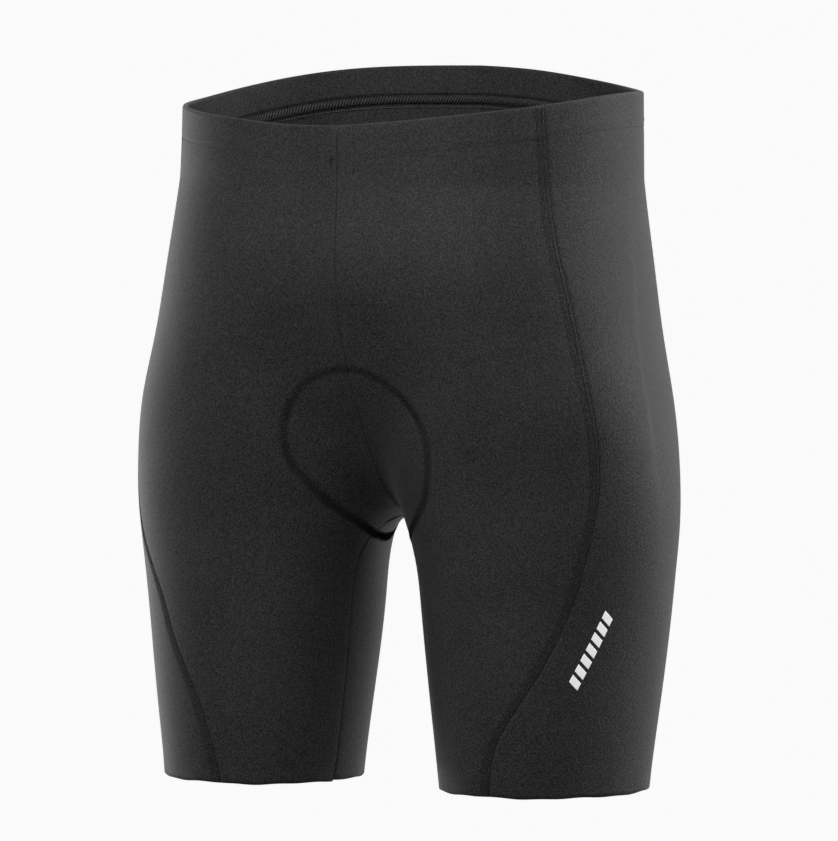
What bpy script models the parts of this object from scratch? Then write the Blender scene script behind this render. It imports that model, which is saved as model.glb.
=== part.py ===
"""Cycling shorts in their worn, hollow form: four stretch panels, a turned waistband, a seat pad.

Metres, +Z up, the front towards -Y, the wearer's left on +X. The origin is inside the waist,
level with the middle of the waistband.

The cloth is stretched over a smooth body form: a trunk of stacked ovals closed below by the
crotch curve, and two leg tubes. A grid of points is laid on that form from the rim to the hem
and from the centre front round to the centre back, and every panel is a part of that grid.
"""

import bpy
import numpy as np

MM = 0.001

# Main sizes, millimetres.
CLOTH = 1.2
SEAM_GAP = 0.3
BAND_HEIGHT = 22
BAND_THICK = 1.6
BAND_GAP = 0.8
BAND_DROP = 0.6
PAD_GAP = 2.0
PAD_EDGE = 1.6
PAD_MIDDLE = 8
HEM_DEPTH = 425.5
FORK_Y = 10

# Depth is measured down from the middle of the waistband.
TRUNK = [
    # depth, half_width, widest_y, front, back
    (-60, 150, 0, -111, 109),
    (-11, 150, 0, -111, 109),
    (40, 152, -4, -110, 111),
    (90, 154, -10, -113, 113),
    (140, 155, -18, -106, 113),
    (190, 152, -22, -96, 107),
    (240, 140, -18, -84, 92),
    (300, 120, -10, -74, 74),
]
LEG = [
    # depth, centre_x, half_width, centre_y, front, back
    (40, 70, 72, -6, -96, 96),
    (90, 76, 77, -12, -105, 104),
    (140, 81, 82, -19, -104, 107),
    (180, 85, 87.5, -25, -101, 107),
    (215, 89, 89, -24, -95, 102),
    (260, 96.5, 84.5, -16, -89, 84),
    (285, 98.5, 80.6, -13, -87.5, 77.5),
    (310, 98.7, 78.3, -11, -86, 72),
    (370, 99, 72, -11, -84, 60),
    (430, 99, 65, -13, -80, 52),
    (480, 99, 61, -13, -78, 49),
]
CROTCH = [
    # y, depth
    (-150, 60),
    (-112, 118),
    (-97, 155),
    (-76, 190),
    (-50, 222),
    (-20, 246),
    (10, 255),
    (40, 246),
    (75, 222),
    (110, 172),
    (150, 100),
]
RIM = [
    # share of the way from front to back, height on the left side, on the right side
    (0.0, -3.5, -3.5),
    (0.1, 0, -3),
    (0.2, 4.5, 0.5),
    (0.3, 9, 3.5),
    (0.4, 14, 6.5),
    (0.5, 16.5, 9),
    (0.6, 16, 15),
    (0.7, 17, 22),
    (0.8, 21.5, 27),
    (0.9, 27, 29),
    (1.0, 29.5, 29.5),
]
INSEAM_TURN = [
    # depth, degrees forward of the inner side
    (258, 4),
    (272, 15),
    (290, 20),
    (320, 22),
    (380, 21),
    (430, 22),
]
SIDE_SEAM = [
    # share of the way down, share from front to back on the left side, on the right side
    (0.00, 0.311, 0.401),
    (0.06, 0.330, 0.414),
    (0.12, 0.3445, 0.422),
    (0.20, 0.357, 0.424),
    (0.30, 0.372, 0.425),
    (0.40, 0.377, 0.427),
    (0.50, 0.3765, 0.426),
    (0.58, 0.3635, 0.417),
    (0.64, 0.3425, 0.388),
    (0.69, 0.324, 0.3485),
    (0.73, 0.306, 0.320),
    (0.77, 0.284, 0.299),
    (0.83, 0.246, 0.2625),
    (0.87, 0.2175, 0.2385),
    (0.92, 0.1855, 0.220),
    (0.96, 0.1725, 0.208),
    (1.00, 0.1665, 0.198),
]
PAD = [
    # along the crotch from the fork towards the back, width to the left, to the right
    (-153, 4, 4),
    (-150, 14, 18),
    (-144, 25, 30),
    (-134, 39, 41),
    (-122, 52, 48),
    (-108, 58, 52),
    (-94, 59, 50),
    (-80, 57, 43),
    (-64, 49, 35),
    (-44, 36, 26),
    (-20, 26, 24),
    (4, 24, 24),
    (32, 31, 31),
    (62, 48, 48),
    (92, 62, 62),
    (122, 70, 70),
    (150, 69, 69),
    (172, 57, 57),
    (186, 34, 34),
    (191, 5, 5),
]
LEG_SHEAR = 0.05
FOLD_LEGS = 12
FOLD_TRUNK = 28
FOLD_CROTCH = 20

# The full grid, and the rows and columns of it that the panels use.
ROWS, FORK_ROW, COLS = 57, 33, 65
PANEL_ROWS = (0, 3, 6, 9, 12, 15, 18, 21, 24, 26, 28, 30, 31.4, 32.4, 33)
PANEL_ROWS += (33.6, 34.4, 35.6, 37.2, 39.5, 42.5, 45.5, 48.5, 51.5, 54, 56)
FRONT_COLS, BACK_COLS = 12, 19
PAD_ACROSS = (0.0, 0.14, 0.3, 0.5, 0.75, 1.0)
RIM_FADE = 9


def spline(knots, values):
    """Natural cubic curve through the given values."""
    knots, values = np.asarray(knots, float), np.asarray(values, float)
    count, step = len(knots), np.diff(knots)
    slopes = np.diff(values) / step
    matrix, right = np.eye(count), np.zeros(count)
    for i in range(1, count - 1):
        matrix[i, i - 1 : i + 2] = step[i - 1], 2 * (step[i - 1] + step[i]), step[i]
        right[i] = 6 * (slopes[i] - slopes[i - 1])
    bend = np.linalg.solve(matrix, right)

    def curve(at):
        at = np.clip(np.asarray(at, float), knots[0], knots[-1])
        i = np.clip(np.searchsorted(knots, at) - 1, 0, count - 2)
        a, b = (knots[i + 1] - at) / step[i], (at - knots[i]) / step[i]
        arch = (a**3 - a) * bend[i] + (b**3 - b) * bend[i + 1]
        return a * values[i] + b * values[i + 1] + arch * step[i] ** 2 / 6

    return curve


def columns(rows, key_scale=MM, value_scale=MM):
    table = np.array(rows, float)
    keys = table[:, 0] * key_scale
    return [spline(keys, table[:, k] * value_scale) for k in range(1, table.shape[1])]


TRUNK_CURVES = columns(TRUNK)
LEG_CURVES = columns(LEG)
CROTCH_DEPTH = columns(CROTCH)[0]
RIM_HEIGHT = columns(RIM, 1)
TURN = columns(INSEAM_TURN, MM, np.pi / 180)[0]
SEAM_PLACE = columns(SIDE_SEAM, 1, 1)


def oval(x, y, half_width, middle, front, back):
    half_depth = np.where(y < middle, middle - front, back - middle)
    reach = np.hypot(x / half_width, (y - middle) / half_depth)
    return (reach - 1) * np.minimum(half_width, half_depth)


def soft_min(a, b, fold):
    near = np.maximum(fold * MM - np.abs(a - b), 0) / (fold * MM)
    return np.minimum(a, b) - near**3 * fold * MM / 6


def grid_top(share):
    """Height of the grid's upper edge, just above the rim of both sides."""
    left, right = RIM_HEIGHT
    return -soft_min(-left(share), -right(share), 9)


def field(p):
    """Below zero inside the body form, above zero outside it."""
    x, y, z = np.abs(p[..., 0]), p[..., 1], p[..., 2]
    trunk = oval(x, y, *(c(-z) for c in TRUNK_CURVES))
    trunk = -soft_min(-trunk, z + CROTCH_DEPTH(y), FOLD_CROTCH)
    centre, half_width, middle, front, back = (c(-z) for c in LEG_CURVES)
    lean = LEG_SHEAR * (y - middle)
    leg = oval(x - centre - lean, y, half_width, middle, front, back)
    other = oval(x + centre + lean, y, half_width, middle, front, back)
    return soft_min(soft_min(leg, other, FOLD_LEGS), trunk, FOLD_TRUNK)


def gradient(p):
    slope = np.empty_like(p)
    for k in range(3):
        step = np.zeros(3)
        step[k] = 0.1 * MM
        slope[..., k] = (field(p + step) - field(p - step)) / (0.2 * MM)
    return slope


def normal(p):
    slope = gradient(p)
    return slope / np.linalg.norm(slope, axis=-1, keepdims=True)


def settle(p, rounds=1, level=False):
    """Move points onto the body form, level ones only sideways."""
    for _ in range(rounds):
        slope = gradient(p)
        if level:
            slope[..., 2] = 0
        pull = field(p) / np.maximum((slope * slope).sum(-1), 0.1)
        p = p - np.clip(pull, -10 * MM, 10 * MM)[..., None] * slope
    return p


def along(points, at):
    """Points at the given shares of a line's length."""
    length = np.append(0, np.cumsum(np.linalg.norm(np.diff(points, axis=0), axis=1)))
    return np.stack([np.interp(at * length[-1], length, points[:, k]) for k in range(3)], -1)


def centre_line(side, at):
    """The centre seam from the rim to the fork, found by rays from inside the body form."""
    middle = np.array([0, FORK_Y, -140]) * MM
    angle = np.radians(np.linspace(0, 175, 1200))
    ray = np.stack([0 * angle, side * np.sin(angle), -np.cos(angle)], -1)
    near, far = np.full(angle.shape, 10 * MM), np.full(angle.shape, 300 * MM)
    for _ in range(40):
        half = (near + far) / 2
        inside = field(middle + half[:, None] * ray) < 0
        near, far = np.where(inside, half, near), np.where(inside, far, half)
    line = (middle + near[:, None] * ray)[::-1]
    return along(line[line[:, 2] < grid_top((side + 1) / 2)], at)


def leg_ring(z, at):
    """Points round a leg at one height, from the inseam forward and outward."""
    centre, half_width, middle, front, back = (c(-z) for c in LEG_CURVES)
    turn = 2 * np.pi * at + TURN(-z)
    reach = np.where(np.sin(turn) > 0, middle - front, back - middle)
    y = middle - reach * np.sin(turn)
    x = centre - half_width * np.cos(turn) + LEG_SHEAR * (y - middle)
    return np.stack([x, y, z + 0 * x], -1)


def body_grid(rounds=160):
    """The left side of the form: rows from rim to hem, columns from front to back."""
    across = np.linspace(0, 1, COLS)
    down = np.linspace(0, 1, FORK_ROW + 1)
    fore, aft = centre_line(-1, down), centre_line(1, down)
    fork, hem_z = fore[-1], -HEM_DEPTH * MM
    side_top, side_fork = grid_top(0.5), -235 * MM
    inseam_z = np.linspace(fork[2], hem_z, ROWS - FORK_ROW)
    grid = np.empty((ROWS, COLS, 3))
    for j in range(ROWS):
        if j <= FORK_ROW:
            side_z = side_top + (side_fork - side_top) * j / FORK_ROW
            front_z, back_z = fore[j, 2], aft[j, 2]
        else:
            side_z = side_fork + (hem_z - side_fork) * (j - FORK_ROW) / (ROWS - 1 - FORK_ROW)
            front_z = back_z = inseam_z[j - FORK_ROW]
        swing = np.cos(np.pi * across) ** 2
        end_z = np.where(across < 0.5, front_z, back_z)
        ring = leg_ring(side_z + (end_z - side_z) * swing, across)
        if j <= FORK_ROW:
            for share, end, k in ((across, fore[j], 0), (1 - across, aft[j], -1)):
                fade = np.clip(1 - share / 0.45, 0, 1)
                fade = fade * fade * (3 - 2 * fade)
                ring[:, :2] += fade[:, None] * (end - ring[k])[:2]
        grid[j] = settle(ring, 12)
    inseam = settle(leg_ring(inseam_z, np.zeros(len(inseam_z))), 12, True)
    inseam[0] = fork
    hem = leg_ring(np.full(400, hem_z), np.linspace(0, 1, 400))
    hem = along(settle(hem, 8, True), across)

    def hold(g):
        g[: FORK_ROW + 1, 0], g[: FORK_ROW + 1, -1] = fore, aft
        g[FORK_ROW:, 0], g[FORK_ROW:, -1] = inseam, inseam
        g[0, :, 2] = grid_top(across)
        g[0] = along(settle(g[0], 2, True), across)
        g[-1] = hem
        return g

    grid = hold(grid)
    for _ in range(rounds):
        mean = grid.copy()
        mean[1:-1, 1:-1] = grid[:-2, 1:-1] + grid[2:, 1:-1] + grid[1:-1, :-2] + grid[1:-1, 2:]
        mean[1:-1, 1:-1] /= 4
        grid = hold(settle(grid + (mean - grid) * 0.9))
    return hold(settle(grid, 3))


GRID = body_grid()
PITCH = np.linalg.norm(GRID[3] - GRID[0], axis=1) / 3


def on_grid(row, share):
    """Points of the form at grid rows (may be between rows) and shares from front to back."""
    row, share = np.broadcast_arrays(np.asarray(row, float), np.asarray(share, float))
    j = np.clip(row.astype(int), 0, ROWS - 2)
    i = np.clip((share * (COLS - 1)).astype(int), 0, COLS - 2)
    b, a = (row - j)[..., None], (share * (COLS - 1) - i)[..., None]
    upper = GRID[j, i] * (1 - a) + GRID[j, i + 1] * a
    lower = GRID[j + 1, i] * (1 - a) + GRID[j + 1, i + 1] * a
    return settle(upper * (1 - b) + lower * b, 2)


def rows_per_length(length, share):
    return length / np.interp(share, np.linspace(0, 1, COLS), PITCH)


def rim_row(side, share):
    """The grid row where the rim of one side lies."""
    rim = RIM_HEIGHT[0 if side > 0 else 1](share)
    return rows_per_length(grid_top(share) - rim, share)


def crowded(count, near_start):
    """Shares from 0 to 1, closer together near one end."""
    t = np.linspace(0, 1, count)
    spread = 0.45 * t + 0.55 * t**2
    return spread if near_start else 1 - spread[::-1]


def flip(points, side):
    return points * np.array([side, 1, 1])


def wall(name, outer, inner, side, closed, material):
    """A thin closed wall between two point grids, open at its edges or joined into a ring."""
    rows, cols = outer.shape[:2]
    points = np.concatenate([outer.reshape(-1, 3), inner.reshape(-1, 3)])
    start = rows * cols
    faces = []

    def quad(a, b, c, d):
        faces.append((a, b, c, d) if side > 0 else (d, c, b, a))

    span = cols if closed else cols - 1
    for j in range(rows - 1):
        for i in range(span):
            a, b = j * cols + i, j * cols + (i + 1) % cols
            c, d = b + cols, a + cols
            quad(a, d, c, b)
            quad(start + a, start + b, start + c, start + d)
    last = (rows - 1) * cols
    for i in range(span):
        a, b = i, (i + 1) % cols
        quad(a, b, start + b, start + a)
        quad(last + b, last + a, start + last + a, start + last + b)
    if not closed:
        for j in range(rows - 1):
            a, d = j * cols, (j + 1) * cols
            quad(a, start + a, start + d, d)
            b, c = a + cols - 1, d + cols - 1
            quad(b, c, start + c, start + b)
    return solid(name, points, faces, material)


def solid(name, points, faces, material):
    mesh = bpy.data.meshes.new(name)
    mesh.from_pydata([tuple(p) for p in points], [], faces)
    mesh.polygons.foreach_set("use_smooth", [True] * len(mesh.polygons))
    mesh.materials.append(material)
    mesh.update()
    thing = bpy.data.objects.new(name, mesh)
    SHORTS.objects.link(thing)
    return thing


def colour(name, shade, roughness):
    material = bpy.data.materials.new(name)
    material.use_nodes = True
    shader = material.node_tree.nodes["Principled BSDF"]
    shader.inputs["Base Color"].default_value = (*shade, 1)
    shader.inputs["Roughness"].default_value = roughness
    return material


def panel(name, side, at_front, material):
    """One panel between its centre edge and the shaped seam at the side."""
    rows = np.array(PANEL_ROWS, float)
    place = SEAM_PLACE[0 if side > 0 else 1](rows / (ROWS - 1))[:, None]
    if at_front:
        share = place * crowded(FRONT_COLS, True)
    else:
        share = place + (1 - place) * crowded(BACK_COLS, False)
    row = rows[:, None] + rim_row(side, share) * np.clip(1 - rows / RIM_FADE, 0, 1)[:, None]
    outer = on_grid(row, share)
    facing = normal(outer)
    inner = outer - facing * CLOTH * MM
    half_gap = SEAM_GAP / 2 * MM
    for sheet in (outer, inner):
        for edge, neighbour in ((0, 1), (-1, -2)):
            step = sheet[:, neighbour] - sheet[:, edge]
            step /= np.linalg.norm(step, axis=1, keepdims=True)
            sheet[:, edge] += step * half_gap
        centre = 0 if at_front else -1
        above = rows <= FORK_ROW
        sheet[above, centre, 0] = half_gap
        fork = rows == FORK_ROW
        sheet[fork, centre, 1] += (-half_gap if at_front else half_gap)
    return wall(name, flip(outer, side), flip(inner, side), side, False, material)


def band_side(side):
    """Points of one side of the waistband, in line with the columns of the panels there."""
    drop = np.array([BAND_DROP, BAND_DROP + BAND_HEIGHT / 2, BAND_DROP + BAND_HEIGHT]) * MM
    seam = SEAM_PLACE[0 if side > 0 else 1]
    place = seam(0.02) + np.zeros((3, 1))
    for _ in range(3):
        front = place * crowded(FRONT_COLS, True)
        back = place + (1 - place) * crowded(BACK_COLS, False)
        share = np.concatenate([front[:, :-1], back], axis=1)
        rim = rim_row(side, share)
        below = rows_per_length(drop[:, None], share)
        place = seam((below / (1 - rim / RIM_FADE))[:, FRONT_COLS - 1] / (ROWS - 1))[:, None]
    return flip(on_grid(rim + below, share), side)


def waistband(material):
    """The turned-in casing with its elastic: a flat ring just inside the panels."""
    ring = np.concatenate([band_side(1), band_side(-1)[:, 1:-1][:, ::-1]], axis=1)
    facing = normal(ring)
    outer = ring - facing * (CLOTH + BAND_GAP) * MM
    inner = ring - facing * (CLOTH + BAND_GAP + BAND_THICK) * MM
    return wall("waistband", outer, inner, 1, True, material)


def pad_side(middle, width):
    """Lines laid out sideways over the form from the centre line, on the left side."""
    steps = 40
    point, heading = middle, np.tile([1.0, 0, 0], (len(middle), 1))
    track = [point]
    for _ in range(steps):
        up = normal(point)
        heading = heading - (heading * up).sum(-1, keepdims=True) * up
        heading /= np.linalg.norm(heading, axis=-1, keepdims=True)
        moved = settle(point + heading * width[:, None] / steps, 2)
        heading = moved - point
        point = moved
        track.append(point)
    return np.stack([track[int(round(s * steps))] for s in PAD_ACROSS], 1)


def seat_pad(material):
    """The pad under the fork: laid out sideways over the form from the centre line."""
    fore = centre_line(-1, np.linspace(0, 1, 300))
    aft = centre_line(1, np.linspace(0, 1, 300))
    line = np.concatenate([fore, aft[::-1][1:]])
    length = np.append(0, np.cumsum(np.linalg.norm(np.diff(line, axis=0), axis=1)))
    reach, to_left, to_right = np.array(PAD, float).T * MM
    middle = np.stack([np.interp(length[299] + reach, length, line[:, k]) for k in range(3)], -1)
    left, right = pad_side(middle, to_left), flip(pad_side(middle, to_right), -1)
    across = np.append(-np.array(PAD_ACROSS)[:0:-1], PAD_ACROSS)
    whole = np.concatenate([right[:, :0:-1], left], axis=1)
    facing = normal(whole)
    lengthwise = np.clip((reach - reach[0]) / (reach[-1] - reach[0]), 0, 1)
    swell = np.sin(np.pi * lengthwise)[:, None] ** 0.6 * (1 - np.abs(across) ** 2.4)
    thick = (PAD_EDGE + (PAD_MIDDLE - PAD_EDGE) * swell) * MM
    outer = whole - facing * (CLOTH + PAD_GAP) * MM
    inner = outer - facing * thick[..., None]
    return wall("seat_pad", outer, inner, 1, False, material)


for thing in list(bpy.data.objects):
    bpy.data.objects.remove(thing)
SHORTS = bpy.data.collections.new("cycling_shorts")
bpy.context.scene.collection.children.link(SHORTS)

knit = colour("knit_front", (0.030, 0.030, 0.032), 0.75)
knit_back = colour("knit_back", (0.032, 0.032, 0.034), 0.75)
elastic = colour("waist_elastic", (0.022, 0.022, 0.024), 0.8)
foam = colour("pad_cloth", (0.045, 0.045, 0.048), 0.85)

panel("front_left", 1, True, knit)
panel("front_right", -1, True, knit)
panel("back_left", 1, False, knit_back)
panel("back_right", -1, False, knit_back)
waistband(elastic)
seat_pad(foam)
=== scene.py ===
"""Looks of the cycling shorts: stretch knit panels, seams, stitching, waist casing and pad."""

import bpy
import numpy as np
from mathutils import Matrix, Vector


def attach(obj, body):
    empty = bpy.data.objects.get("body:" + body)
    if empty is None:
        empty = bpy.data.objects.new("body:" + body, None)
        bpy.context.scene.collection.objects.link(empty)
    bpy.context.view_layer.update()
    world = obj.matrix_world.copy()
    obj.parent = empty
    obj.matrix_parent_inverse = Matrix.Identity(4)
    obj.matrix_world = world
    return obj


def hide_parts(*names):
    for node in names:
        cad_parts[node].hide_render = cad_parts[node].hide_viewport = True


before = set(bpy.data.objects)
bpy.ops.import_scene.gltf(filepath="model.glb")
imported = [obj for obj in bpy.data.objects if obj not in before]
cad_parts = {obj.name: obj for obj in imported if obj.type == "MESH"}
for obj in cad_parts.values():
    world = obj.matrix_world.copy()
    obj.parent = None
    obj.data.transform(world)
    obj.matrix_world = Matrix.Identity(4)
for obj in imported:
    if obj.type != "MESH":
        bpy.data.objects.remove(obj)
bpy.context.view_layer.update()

MM = 0.001

# The body form the cloth is stretched over: the same sizes as the solids, millimetres.
HEM_DEPTH = 425.5
FORK_Y = 10
TRUNK = [
    # depth, half_width, widest_y, front, back
    (-60, 150, 0, -111, 109),
    (-11, 150, 0, -111, 109),
    (40, 152, -4, -110, 111),
    (90, 154, -10, -113, 113),
    (140, 155, -18, -106, 113),
    (190, 152, -22, -96, 107),
    (240, 140, -18, -84, 92),
    (300, 120, -10, -74, 74),
]
LEG = [
    # depth, centre_x, half_width, centre_y, front, back
    (40, 70, 72, -6, -96, 96),
    (90, 76, 77, -12, -105, 104),
    (140, 81, 82, -19, -104, 107),
    (180, 85, 87.5, -25, -101, 107),
    (215, 89, 89, -24, -95, 102),
    (260, 96.5, 84.5, -16, -89, 84),
    (285, 98.5, 80.6, -13, -87.5, 77.5),
    (310, 98.7, 78.3, -11, -86, 72),
    (370, 99, 72, -11, -84, 60),
    (430, 99, 65, -13, -80, 52),
    (480, 99, 61, -13, -78, 49),
]
CROTCH = [
    # y, depth
    (-150, 60),
    (-112, 118),
    (-97, 155),
    (-76, 190),
    (-50, 222),
    (-20, 246),
    (10, 255),
    (40, 246),
    (75, 222),
    (110, 172),
    (150, 100),
]
RIM = [
    # share of the way from front to back, height on the left side, on the right side
    (0.0, -3.5, -3.5),
    (0.1, 0, -3),
    (0.2, 4.5, 0.5),
    (0.3, 9, 3.5),
    (0.4, 14, 6.5),
    (0.5, 16.5, 9),
    (0.6, 16, 15),
    (0.7, 17, 22),
    (0.8, 21.5, 27),
    (0.9, 27, 29),
    (1.0, 29.5, 29.5),
]
INSEAM_TURN = [
    # depth, degrees forward of the inner side
    (258, 4),
    (272, 15),
    (290, 20),
    (320, 22),
    (380, 21),
    (430, 22),
]
SIDE_SEAM = [
    # share of the way down, share from front to back on the left side, on the right side
    (0.00, 0.311, 0.401),
    (0.06, 0.330, 0.414),
    (0.12, 0.3445, 0.422),
    (0.20, 0.357, 0.424),
    (0.30, 0.372, 0.425),
    (0.40, 0.377, 0.427),
    (0.50, 0.3765, 0.426),
    (0.58, 0.3635, 0.417),
    (0.64, 0.3425, 0.388),
    (0.69, 0.324, 0.3485),
    (0.73, 0.306, 0.320),
    (0.77, 0.284, 0.299),
    (0.83, 0.246, 0.2625),
    (0.87, 0.2175, 0.2385),
    (0.92, 0.1855, 0.220),
    (0.96, 0.1725, 0.208),
    (1.00, 0.1665, 0.198),
]
PAD = [
    # along the crotch from the fork towards the back, width to the left, to the right
    (-153, 4, 4),
    (-150, 14, 18),
    (-144, 25, 30),
    (-134, 39, 41),
    (-122, 52, 48),
    (-108, 58, 52),
    (-94, 59, 50),
    (-80, 57, 43),
    (-64, 49, 35),
    (-44, 36, 26),
    (-20, 26, 24),
    (4, 24, 24),
    (32, 31, 31),
    (62, 48, 48),
    (92, 62, 62),
    (122, 70, 70),
    (150, 69, 69),
    (172, 57, 57),
    (186, 34, 34),
    (191, 5, 5),
]
LEG_SHEAR = 0.05
FOLD_LEGS = 12
FOLD_TRUNK = 28
FOLD_CROTCH = 20
ROWS, FORK_ROW, COLS = 57, 33, 65

# Cloth and sewing, millimetres.
KNIT = 0.9
RIM_RADIUS = 1.6
CASING = 20
RIM_FADE = 9

# Where a panel's columns lie near its side seam and near its other edge, in from that edge.
SIDE_EDGE = (0, 0.3, 0.7, 1.3, 1.9, 2.4, 2.8, 3.2, 3.8, 5, 7, 9.5)
PLAIN_EDGE = (0, 0.25, 0.5, 0.8, 1.2, 1.8, 2.6, 3.6, 5, 7, 9.5)

# Where its rows lie inside the casing, below the rim, and how many turn over the rim.
CASING_DROPS = (17, 14, 11, 8.5, 6.5, 4.8, 3.4, 2.4)
RIM_STEPS = 11

# How many columns lie between a panel's edges, and how many rows above and below the fork.
FRONT_MIDDLE, BACK_MIDDLE = 56, 92
ROWS_ABOVE, ROWS_BELOW = 104, 66

# About how tall one row of the grid is near the rim and along the leg, millimetres.
TOP_ROW, LEG_ROW = 8.0, 7.0


def spline(knots, values):
    """Natural cubic curve through the given values."""
    knots, values = np.asarray(knots, float), np.asarray(values, float)
    count, step = len(knots), np.diff(knots)
    slopes = np.diff(values) / step
    matrix, right = np.eye(count), np.zeros(count)
    for i in range(1, count - 1):
        matrix[i, i - 1 : i + 2] = step[i - 1], 2 * (step[i - 1] + step[i]), step[i]
        right[i] = 6 * (slopes[i] - slopes[i - 1])
    bend = np.linalg.solve(matrix, right)

    def curve(at):
        at = np.clip(np.asarray(at, float), knots[0], knots[-1])
        i = np.clip(np.searchsorted(knots, at) - 1, 0, count - 2)
        a, b = (knots[i + 1] - at) / step[i], (at - knots[i]) / step[i]
        arch = (a**3 - a) * bend[i] + (b**3 - b) * bend[i + 1]
        return a * values[i] + b * values[i + 1] + arch * step[i] ** 2 / 6

    return curve


def columns(rows, key_scale=MM, value_scale=MM):
    """A curve for each column of a table, over the first one."""
    table = np.array(rows, float)
    keys = table[:, 0] * key_scale
    return [spline(keys, table[:, k] * value_scale) for k in range(1, table.shape[1])]


TRUNK_CURVES = columns(TRUNK)
LEG_CURVES = columns(LEG)
CROTCH_DEPTH = columns(CROTCH)[0]
RIM_HEIGHT = columns(RIM, 1)
TURN = columns(INSEAM_TURN, MM, np.pi / 180)[0]
SEAM_PLACE = columns(SIDE_SEAM, 1, 1)


def oval(x, y, half_width, middle, front, back):
    """About how far a point lies outside an oval with unlike front and back halves."""
    half_depth = np.where(y < middle, middle - front, back - middle)
    reach = np.hypot(x / half_width, (y - middle) / half_depth)
    return (reach - 1) * np.minimum(half_width, half_depth)


def soft_min(a, b, fold):
    """The smaller of two values, rounded where they are within a fold of each other."""
    near = np.maximum(fold * MM - np.abs(a - b), 0) / (fold * MM)
    return np.minimum(a, b) - near**3 * fold * MM / 6


def grid_top(share):
    """Height of the grid's upper edge, just above the rim of both sides."""
    left, right = RIM_HEIGHT
    return -soft_min(-left(share), -right(share), 9)


def field(p):
    """Below zero inside the body form, above zero outside it."""
    x, y, z = np.abs(p[..., 0]), p[..., 1], p[..., 2]
    trunk = oval(x, y, *(c(-z) for c in TRUNK_CURVES))
    trunk = -soft_min(-trunk, z + CROTCH_DEPTH(y), FOLD_CROTCH)
    centre, half_width, middle, front, back = (c(-z) for c in LEG_CURVES)
    lean = LEG_SHEAR * (y - middle)
    leg = oval(x - centre - lean, y, half_width, middle, front, back)
    other = oval(x + centre + lean, y, half_width, middle, front, back)
    return soft_min(soft_min(leg, other, FOLD_LEGS), trunk, FOLD_TRUNK)


def gradient(p):
    """The field's slope, from small steps on each axis."""
    slope = np.empty_like(p)
    for k in range(3):
        step = np.zeros(3)
        step[k] = 0.1 * MM
        slope[..., k] = (field(p + step) - field(p - step)) / (0.2 * MM)
    return slope


def unit(v):
    """Arrows of length one, each the way its own one points."""
    return v / np.maximum(np.linalg.norm(v, axis=-1, keepdims=True), 1e-12)


def normal(p):
    """The form's outward direction at points on the left side."""
    return unit(gradient(p))


def settle(p, rounds=1, level=False):
    """Move points onto the body form, level ones only sideways."""
    for _ in range(rounds):
        slope = gradient(p)
        if level:
            slope[..., 2] = 0
        pull = field(p) / np.maximum((slope * slope).sum(-1), 0.1)
        p = p - np.clip(pull, -10 * MM, 10 * MM)[..., None] * slope
    return p


def lengths(points):
    """The length of a line up to each of its points."""
    return np.append(0, np.cumsum(np.linalg.norm(np.diff(points, axis=0), axis=1)))


def along(points, at):
    """Points at the given shares of a line's length."""
    length = lengths(points)
    return np.stack([np.interp(at * length[-1], length, points[:, k]) for k in range(3)], -1)


def centre_line(side, at):
    """The centre seam from the rim to the fork, found by rays from inside the body form."""
    middle = np.array([0, FORK_Y, -140]) * MM
    angle = np.radians(np.linspace(0, 175, 1200))
    ray = np.stack([0 * angle, side * np.sin(angle), -np.cos(angle)], -1)
    near, far = np.full(angle.shape, 10 * MM), np.full(angle.shape, 300 * MM)
    for _ in range(40):
        half = (near + far) / 2
        inside = field(middle + half[:, None] * ray) < 0
        near, far = np.where(inside, half, near), np.where(inside, far, half)
    line = (middle + near[:, None] * ray)[::-1]
    return along(line[line[:, 2] < grid_top((side + 1) / 2)], at)


def leg_ring(z, at):
    """Points round a leg at one height, from the inseam forward and outward."""
    centre, half_width, middle, front, back = (c(-z) for c in LEG_CURVES)
    turn = 2 * np.pi * at + TURN(-z)
    reach = np.where(np.sin(turn) > 0, middle - front, back - middle)
    y = middle - reach * np.sin(turn)
    x = centre - half_width * np.cos(turn) + LEG_SHEAR * (y - middle)
    return np.stack([x, y, z + 0 * x], -1)


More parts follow.
